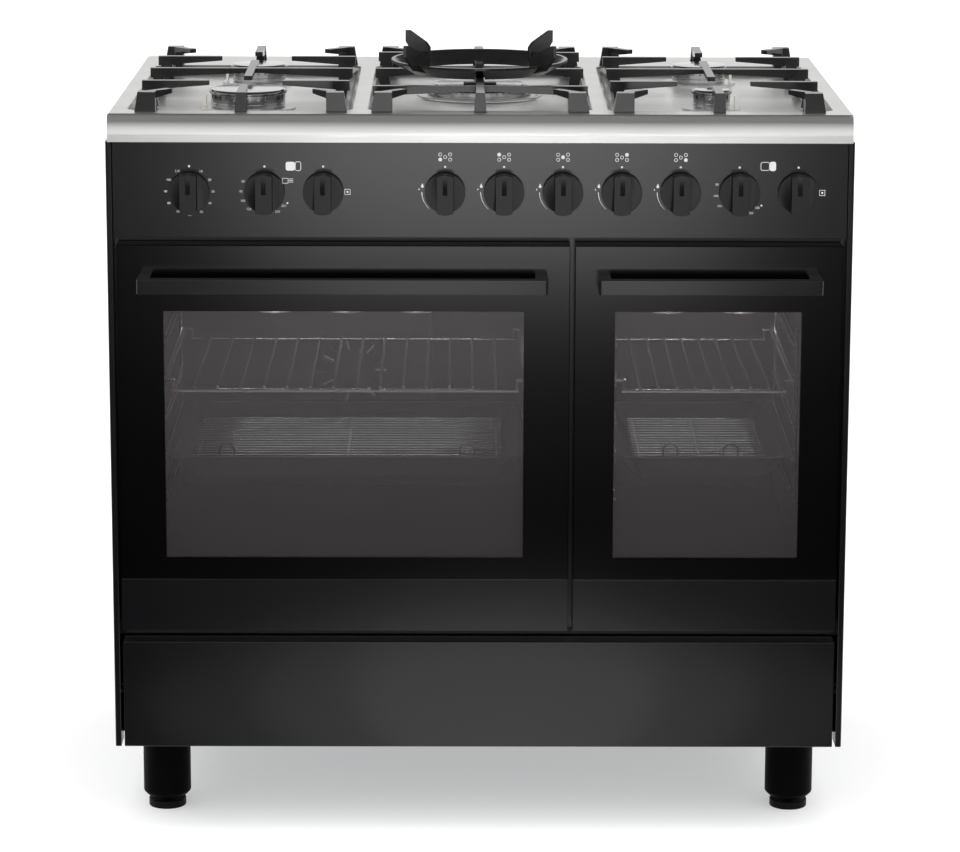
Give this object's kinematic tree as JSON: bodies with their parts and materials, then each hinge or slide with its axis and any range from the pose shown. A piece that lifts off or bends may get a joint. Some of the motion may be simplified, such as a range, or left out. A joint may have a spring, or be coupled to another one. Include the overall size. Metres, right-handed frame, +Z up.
{
  "type": "range cooker",
  "caption": "Free-standing black range cooker with a stainless gas hob, two drop-down glass oven doors side by side, a row of round knobs, a storage drawer and short legs.",
  "frame": {"origin": "on the floor under the middle of the whole cooker's bounding box, door handles included", "axes": "+X to the right as seen from the front, +Y from the front to the back, +Z up"},
  "size_m": [0.9, 0.645, 0.9625],
  "materials": {
    "brushed_stainless": "satin brushed stainless steel",
    "black_lacquer": "satin black lacquer on steel",
    "galvanised_sheet": "galvanised steel sheet",
    "oven_enamel": "dark grey vitreous enamel",
    "black_glass": "black-printed toughened glass",
    "clear_glass": "clear toughened glass",
    "dark_anodised": "dark satin anodised aluminium",
    "cast_black": "matte black enamelled cast iron",
    "burner_alloy": "bare cast aluminium",
    "cap_enamel": "satin black vitreous enamel",
    "ceramic_white": "white ceramic",
    "black_moulding": "satin black moulded plastic",
    "brass_fitting": "plain brass",
    "switch_plastic": "pale moulded plastic",
    "rack_chrome": "bright chromed wire",
    "element_steel": "dark oxidised steel",
    "seal_rubber": "dark silicone rubber",
    "leg_black": "satin black lacquered tube",
    "foot_plastic": "black moulded plastic",
    "lamp_glass": "warm clear glass"
  },
  "bodies": {
    "cabinet": {"side_panel_left": "black_lacquer", "side_panel_right": "black_lacquer", "back_panel": "galvanised_sheet", "floor_panels": "galvanised_sheet", "front_frame": "black_lacquer", "main_cavity": "oven_enamel", "small_cavity": "oven_enamel", "door_seals": "seal_rubber", "side_racks": "rack_chrome", "wire_shelves": "rack_chrome", "grill_pans": "oven_enamel", "grill_grids": "rack_chrome", "grill_elements": "element_steel", "fan_cover": "oven_enamel", "fan_motor": "galvanised_sheet", "oven_lamps": "lamp_glass", "hob_top": "brushed_stainless", "burner_crowns": "burner_alloy", "burner_caps": "cap_enamel", "spark_electrodes": "ceramic_white", "pan_support_left": "cast_black", "pan_support_centre": "cast_black", "pan_support_right": "cast_black", "wok_ring": "cast_black", "control_panel": "black_lacquer", "gas_rail": "brass_fitting", "dial_switches": "switch_plastic", "drawer_runners": "galvanised_sheet", "legs": "leg_black", "levelling_feet": "foot_plastic"},
    "main_door": {"main_door_glass": "black_glass", "main_door_frame": "black_lacquer", "main_inner_glass": "clear_glass", "main_handle": "dark_anodised"},
    "small_door": {"small_door_glass": "black_glass", "small_door_frame": "black_lacquer", "small_inner_glass": "clear_glass", "small_handle": "dark_anodised"},
    "drawer": {"drawer_front": "black_lacquer", "drawer_box": "galvanised_sheet"},
    "fan": {"fan_wheel": "galvanised_sheet"},
    "push_front_left": {"spindle_front_left": "brass_fitting"},
    "push_rear_left": {"spindle_rear_left": "brass_fitting"},
    "push_centre": {"spindle_centre": "brass_fitting"},
    "push_rear_right": {"spindle_rear_right": "brass_fitting"},
    "push_front_right": {"spindle_front_right": "brass_fitting"},
    "turn_timer": {"knob_timer": "black_moulding"},
    "turn_main_oven": {"knob_main_oven": "black_moulding"},
    "turn_main_lamp": {"knob_main_lamp": "black_moulding"},
    "turn_front_left": {"knob_front_left": "black_moulding"},
    "turn_rear_left": {"knob_rear_left": "black_moulding"},
    "turn_centre": {"knob_centre": "black_moulding"},
    "turn_rear_right": {"knob_rear_right": "black_moulding"},
    "turn_front_right": {"knob_front_right": "black_moulding"},
    "turn_small_oven": {"knob_small_oven": "black_moulding"},
    "turn_small_lamp": {"knob_small_lamp": "black_moulding"}
  },
  "joints": [
    {"name": "main_door_hinge", "type": "hinge", "parent": "cabinet", "child": "main_door", "pos_m": [-0.1648, -0.2575, 0.27], "axis": [1, 0, 0], "range_deg": [0, 90]},
    {"name": "small_door_hinge", "type": "hinge", "parent": "cabinet", "child": "small_door", "pos_m": [0.2769, -0.2575, 0.27], "axis": [1, 0, 0], "range_deg": [0, 90]},
    {"name": "drawer_slide", "type": "slide", "parent": "cabinet", "child": "drawer", "axis": [0, -1, 0], "range_m": [0, 0.38]},
    {"name": "fan_spin", "type": "hinge", "parent": "cabinet", "child": "fan", "pos_m": [-0.1648, 0.1445, 0.505], "axis": [0, 1, 0], "continuous": true},
    {"name": "push_front_left_slide", "type": "slide", "parent": "cabinet", "child": "push_front_left", "axis": [0, 1, 0], "range_m": [0, 0.004], "stiffness_N_per_m": 900, "springref_m": -0.002},
    {"name": "turn_front_left_hinge", "type": "hinge", "parent": "push_front_left", "child": "turn_front_left", "pos_m": [-0.0421, -0.2775, 0.8055], "axis": [0, -1, 0], "range_deg": [0, 180]},
    {"name": "push_rear_left_slide", "type": "slide", "parent": "cabinet", "child": "push_rear_left", "axis": [0, 1, 0], "range_m": [0, 0.004], "stiffness_N_per_m": 900, "springref_m": -0.002},
    {"name": "turn_rear_left_hinge", "type": "hinge", "parent": "push_rear_left", "child": "turn_rear_left", "pos_m": [0.02865, -0.2775, 0.8055], "axis": [0, -1, 0], "range_deg": [0, 180]},
    {"name": "push_centre_slide", "type": "slide", "parent": "cabinet", "child": "push_centre", "axis": [0, 1, 0], "range_m": [0, 0.004], "stiffness_N_per_m": 900, "springref_m": -0.002},
    {"name": "turn_centre_hinge", "type": "hinge", "parent": "push_centre", "child": "turn_centre", "pos_m": [0.0994, -0.2775, 0.8055], "axis": [0, -1, 0], "range_deg": [0, 180]},
    {"name": "push_rear_right_slide", "type": "slide", "parent": "cabinet", "child": "push_rear_right", "axis": [0, 1, 0], "range_m": [0, 0.004], "stiffness_N_per_m": 900, "springref_m": -0.002},
    {"name": "turn_rear_right_hinge", "type": "hinge", "parent": "push_rear_right", "child": "turn_rear_right", "pos_m": [0.17015, -0.2775, 0.8055], "axis": [0, -1, 0], "range_deg": [0, 180]},
    {"name": "push_front_right_slide", "type": "slide", "parent": "cabinet", "child": "push_front_right", "axis": [0, 1, 0], "range_m": [0, 0.004], "stiffness_N_per_m": 900, "springref_m": -0.002},
    {"name": "turn_front_right_hinge", "type": "hinge", "parent": "push_front_right", "child": "turn_front_right", "pos_m": [0.2409, -0.2775, 0.8055], "axis": [0, -1, 0], "range_deg": [0, 180]},
    {"name": "turn_timer_hinge", "type": "hinge", "parent": "cabinet", "child": "turn_timer", "pos_m": [-0.3495, -0.2775, 0.8055], "axis": [0, 1, 0], "range_deg": [0, 330]},
    {"name": "turn_main_oven_hinge", "type": "hinge", "parent": "cabinet", "child": "turn_main_oven", "pos_m": [-0.259, -0.2775, 0.8055], "axis": [0, -1, 0], "range_deg": [0, 295]},
    {"name": "turn_small_oven_hinge", "type": "hinge", "parent": "cabinet", "child": "turn_small_oven", "pos_m": [0.31165, -0.2775, 0.8055], "axis": [0, -1, 0], "range_deg": [0, 227]},
    {"name": "turn_main_lamp_hinge", "type": "hinge", "parent": "cabinet", "child": "turn_main_lamp", "pos_m": [-0.1885, -0.2775, 0.8055], "axis": [0, 1, 0], "range_deg": [0, 90]},
    {"name": "turn_small_lamp_hinge", "type": "hinge", "parent": "cabinet", "child": "turn_small_lamp", "pos_m": [0.3824, -0.2775, 0.8055], "axis": [0, 1, 0], "range_deg": [0, 90]}
  ]
}
